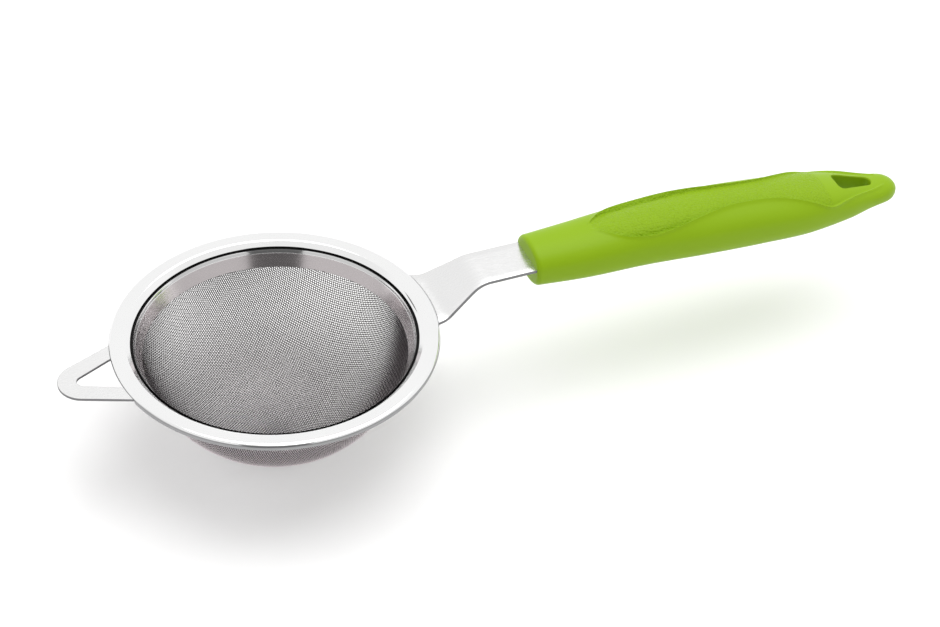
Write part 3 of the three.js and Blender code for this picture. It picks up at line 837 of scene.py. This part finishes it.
def grip_shell():
    """Points, faces and material slots of the whole grip before the hanging hole is cut."""
    rows = []
    for x in grip_rows():
        half, panel_faces = half_section(x)
        mirror = half[-2:0:-1] * [1, -1, 1]
        rows.append(np.concatenate([half, mirror]))
    points = np.asarray(rows)
    count = points.shape[1]
    faces = grid_faces(len(rows), count, wrap_columns=True)
    panel = np.zeros(count, int)
    panel[:panel_faces] = 1
    panel[count - panel_faces:] = 1
    stippled = [int(STIPPLE_RUN[0] < row[0, 0] < STIPPLE_RUN[1]) for row in points]
    slots = [int(panel[j]) * stippled[i] for i in range(len(rows) - 1) for j in range(count)]
    flat = points.reshape(-1, 3)
    front_middle = [GRIP_START_X, 0, grip_section(GRIP_START_X)[2]]
    tail_middle = [GRIP_END_X, 0, grip_section(GRIP_END_X)[2]]
    flat = np.vstack([flat, front_middle, tail_middle])
    front_id, tail_id, last = len(flat) - 2, len(flat) - 1, (len(rows) - 1) * count
    for j in range(count):
        right = (j + 1) % count
        faces.append((front_id, right, j))
        faces.append((tail_id, last + j, last + right))
        slots += [0, 0]
    return flat, faces, slots


def hole_outline(grow):
    """Outline of the hanging hole, moved outward by grow."""
    run = HOLE_REAR_X - HOLE_FRONT_X
    lean = math.atan2(HOLE_FRONT_Y, run)
    narrowing = math.asin((HOLE_REAR_R - HOLE_FRONT_R) / math.hypot(run, HOLE_FRONT_Y))
    side = 90 - math.degrees(lean + narrowing)
    front_r = HOLE_FRONT_R + grow
    outline = arc(HOLE_FRONT_X, HOLE_FRONT_Y, front_r, side, 180, 14)
    outline += arc(HOLE_FRONT_X, -HOLE_FRONT_Y, front_r, 180, 360 - side, 14)
    return outline + arc(HOLE_REAR_X, 0, HOLE_REAR_R + grow, -side, side, 16)


def surface_height(x, y, sign):
    """Height of the plain grip's top (sign 1) or bottom (sign -1) above a point in plan."""
    width, height, centre_z = grip_section(np.asarray(x))
    share = np.clip(np.abs(y) / width, 0, 0.98)
    return centre_z + sign * height * (1 - share**SECTION_POWER) ** (1 / SECTION_POWER)


def make_hole_cutter():
    """A plug whose ends flare out in a fillet, so that the cut leaves a rounded mouth."""
    edge_r = HOLE_MOUTH_R
    turns = np.radians([0, 15, 30, 45, 60, 72])
    rings = []
    for sign in (1, -1):
        mouth = []
        for turn in turns:
            outline = np.asarray(hole_outline(edge_r * (1 - math.cos(turn))))
            wall = np.asarray(hole_outline(edge_r))
            z = surface_height(wall[:, 0], wall[:, 1], sign) - sign * edge_r * (1 - math.sin(turn))
            mouth.append(np.column_stack([outline, z]))
        outline = np.asarray(hole_outline(edge_r * 2.4))
        z = surface_height(outline[:, 0], outline[:, 1], sign) + sign * edge_r
        mouth.append(np.column_stack([outline, z]))
        rings.append(mouth)
    column = rings[1][::-1] + rings[0]
    count = len(column[0])
    points = np.concatenate(column)
    faces = grid_faces(len(column), count, wrap_columns=True)
    faces += [tuple(range(count - 1, -1, -1)), tuple(range(len(points) - count, len(points)))]
    mesh = bpy.data.meshes.new("hole_cutter")
    mesh.from_pydata((points * MM + np.array(ORIGIN)).tolist(), [], faces)
    mesh.materials.append(LIME)
    cutter = bpy.data.objects.new("hole_cutter", mesh)
    bpy.context.scene.collection.objects.link(cutter)
    tidy_normals(cutter)
    return cutter


def make_grip():
    points, faces, slots = grip_shell()
    grip = add_piece(
        "grip_moulding", points, faces, [LIME, STIPPLE], ["grip"], slots, sharp=0
    )
    tidy_normals(grip)
    cutter = make_hole_cutter()
    cut = grip.modifiers.new("hanging_hole", "BOOLEAN")
    cut.operation = "DIFFERENCE"
    cut.solver = "EXACT"
    cut.object = cutter
    bpy.context.view_layer.update()
    depsgraph = bpy.context.evaluated_depsgraph_get()
    done = bpy.data.meshes.new_from_object(grip.evaluated_get(depsgraph))
    grip.modifiers.clear()
    grip.data = done
    bpy.data.objects.remove(cutter)
    done.polygons.foreach_set("use_smooth", np.ones(len(done.polygons), bool))
    done.set_sharp_from_angle(angle=math.radians(50))


# ---- The materials ---------------------------------------------------------------------------
# Each steel: its darkest and lightest colour, its range of roughness, and its grain.
MIRROR = turned_steel(
    "flange_steel", (0.85, 0.855, 0.86), (0.90, 0.905, 0.905), (0.07, 0.12), 900, 2e-6
)
BAND = turned_steel(
    "band_steel", (0.71, 0.662, 0.672), (0.78, 0.730, 0.740), (0.16, 0.21), 3500, 2e-6
)
SHEET = satin_steel(
    "sheet_steel", (0.76, 0.762, 0.765), (0.82, 0.822, 0.823), (0.20, 0.30), (400, 5000, 400)
)
CUT = satin_steel(
    "cut_edge_steel", (0.16, 0.16, 0.165), (0.26, 0.26, 0.265), (0.38, 0.5), (900, 900, 9000)
)
# Painted shade: darker steel on the lip's lower bend, standing in for the dark reflection there.
SHADED_LIP = satin_steel(
    "lip_painted_shade", (0.28, 0.28, 0.285), (0.36, 0.36, 0.365), (0.3, 0.4), (900, 900, 900)
)
# Painted shade: near-black colour for the hem and groove, standing in for the shadow in the gap.
GROOVE_SHADE = satin_steel(
    "groove_painted_shade", (0.012, 0.012, 0.012), (0.02, 0.02, 0.02), (0.5, 0.6), (900, 900, 900)
)
WIRE = wire_steel()
LIME = lime_plastic("lime_smooth", 1800, 0.12, 0.00003, (0.36, 0.46))
STIPPLE = lime_plastic("lime_stippled", 1500, 1.0, 0.0005, (0.34, 0.60))


# ---- Studio ----------------------------------------------------------------------------------
CAMERA_TURN = 23.6  # degrees from the front towards the ear
CAMERA_ELEVATION = 40.07
CAMERA_ROLL = 1.92
CAMERA_DISTANCE = 0.7324
CAMERA_LENS = 95.74
AIM = (56.15, -11.81, 0.0)  # where the view's middle meets the plane of the flange
FLOOR_HALF_WIDTH = 4.0  # metres


def camera_back():
    turn, up = math.radians(CAMERA_TURN), math.radians(CAMERA_ELEVATION)
    return Vector((-math.sin(turn) * math.cos(up), -math.cos(turn) * math.cos(up), math.sin(up)))


def make_camera():
    back = camera_back()
    camera = bpy.data.objects.new("camera", bpy.data.cameras.new("camera"))
    bpy.context.scene.collection.objects.link(camera)
    camera.data.lens = CAMERA_LENS
    camera.data.sensor_width = 36
    camera.data.clip_start, camera.data.clip_end = 0.05, 20
    camera.location = ORIGIN + Vector(AIM) * MM + back * CAMERA_DISTANCE
    level = (-back).to_track_quat("-Z", "Y").to_matrix()
    camera.rotation_euler = (level @ Matrix.Rotation(math.radians(CAMERA_ROLL), 3, "Z")).to_euler()
    bpy.context.scene.camera = camera


def make_floor():
    material, tree, shader = new_material("floor_white")
    place = node(tree, "ShaderNodeTexCoord").outputs["Object"]
    tone = scaled_noise(tree, place, 3)
    paper = two_colours(tree, tone, (0.93, 0.93, 0.93), (0.95, 0.95, 0.95))
    tree.links.new(paper, shader.inputs["Base Color"])
    shader.inputs["Roughness"].default_value = 0.9
    shader.inputs["Specular IOR Level"].default_value = 0.1
    mesh = bpy.data.meshes.new("floor")
    half = FLOOR_HALF_WIDTH
    corners = [(-half, -half, 0), (half, -half, 0), (half, half, 0), (-half, half, 0)]
    mesh.from_pydata(corners, [], [(0, 1, 2, 3)])
    mesh.materials.append(material)
    floor = bpy.data.objects.new("floor", mesh)
    bpy.context.scene.collection.objects.link(floor)
    floor.location.z = cad_box[0].z


# The studio is a white tent round the object, as brightness by direction. Its front is dimmer near
# the ground and has a dark slit for the lens.
BACK_WALL = 1.03
FRONT_HIGH = 0.95
FRONT_LOW = 0.69
FRONT_RISE = (0.36, 0.46)  # sine of the height where the front turns brighter
RIGHT_PANEL = 0.94
SLIT_DARK = 0.18
LENS_SLIT = (-0.26, 0.37)  # from side to side, as the sine of the angle to the right
SLIT_TOP = 0.72
# Runs over which one wall fades into the next, as sines towards the front and the right.
WALL_RUN = (-0.15, 0.10)
LOW_FRONT_RUN = (-0.05, 0.15)
RIGHT_RUN = (0.2, 0.5)
RIGHT_FRONT_RUN = (-0.4, 0.0)
SLIT_FRONT_RUN = (0.0, 0.1)
SLIT_SIDE_SOFT = 0.03
SLIT_TOP_SOFT = 0.05

KEY_POWER = 8.3
KEY_SIDE = 1.1
KEY_PLACE = (0.15, -0.16, 1.15)  # metres to the right, to the front and up


def make_world():
    """Surroundings for the steel to mirror; their pattern is fixed in the room."""
    world = bpy.data.worlds.new("studio")
    bpy.context.scene.world = world
    world.use_nodes = True
    tree = world.node_tree
    direction = node(tree, "ShaderNodeTexCoord").outputs["Generated"]
    turn = math.radians(CAMERA_TURN)

    def along(axis):
        made = node(tree, "ShaderNodeVectorMath", [(0, direction)], operation="DOT_PRODUCT")
        made.inputs[1].default_value = axis
        return made.outputs["Value"]

    def step(value, low, high, start, end):
        made = node(tree, "ShaderNodeMapRange", [("Value", value)], interpolation_type="SMOOTHSTEP")
        limits = {"From Min": low, "From Max": high, "To Min": start, "To Max": end}
        for key, number in limits.items():
            made.inputs[key].default_value = number
        return made.outputs["Result"]

    def times(*factors):
        total = factors[0]
        for factor in factors[1:]:
            both = [(0, total), (1, factor)]
            total = node(tree, "ShaderNodeMath", both, operation="MULTIPLY").outputs[0]
        return total

    def darkened(strength, share, to):
        """Strength multiplied by a factor that goes from 1 to the given one as share goes to 1."""
        return times(strength, step(share, 0, 1, 1, to))

    front = along((-math.sin(turn), -math.cos(turn), 0))
    right = along((math.cos(turn), -math.sin(turn), 0))
    height = along((0, 0, 1))
    below = step(height, *FRONT_RISE, 1, 0)
    low_front = times(below, step(front, *LOW_FRONT_RUN, 0, 1))
    strength = step(front, *WALL_RUN, BACK_WALL, FRONT_HIGH)
    strength = darkened(strength, low_front, FRONT_LOW)
    right_side = times(step(right, *RIGHT_RUN, 0, 1), below, step(front, *RIGHT_FRONT_RUN, 0, 1))
    strength = darkened(strength, right_side, RIGHT_PANEL)
    slit_left, slit_right = LENS_SLIT
    slit = times(
        step(right, slit_left - SLIT_SIDE_SOFT, slit_left, 0, 1),
        step(right, slit_right, slit_right + SLIT_SIDE_SOFT, 1, 0),
        step(height, SLIT_TOP, SLIT_TOP + SLIT_TOP_SOFT, 1, 0),
        step(front, *SLIT_FRONT_RUN, 0, 1),
    )
    strength = darkened(strength, slit, SLIT_DARK)
    background = tree.nodes["Background"]
    background.inputs["Color"].default_value = (1, 0.995, 0.99, 1)
    tree.links.new(strength, background.inputs["Strength"])


def make_lights():
    """One large key softbox above and behind the object, for a soft direction to the light."""
    light = bpy.data.lights.new("key_softbox", "AREA")
    light.shape = "RECTANGLE"
    light.size, light.size_y = KEY_SIDE, KEY_SIDE
    light.energy = KEY_POWER
    softbox = bpy.data.objects.new("key_softbox", light)
    bpy.context.scene.collection.objects.link(softbox)
    turn = math.radians(CAMERA_TURN)
    right = Vector((math.cos(turn), -math.sin(turn), 0))
    front = Vector((-math.sin(turn), -math.cos(turn), 0))
    offset = right * KEY_PLACE[0] + front * KEY_PLACE[1] + Vector((0, 0, KEY_PLACE[2]))
    softbox.location = ORIGIN + offset
    softbox.rotation_euler = (-offset).to_track_quat("-Z", "Y").to_euler()


def set_looks():
    scene = bpy.context.scene
    scene.view_settings.view_transform = "Standard"
    scene.view_settings.look = "None"


make_camera()
make_rim()
make_band()
make_bowl()
make_ear()
make_shank()
make_grip()
make_floor()
make_world()
make_lights()
set_looks()
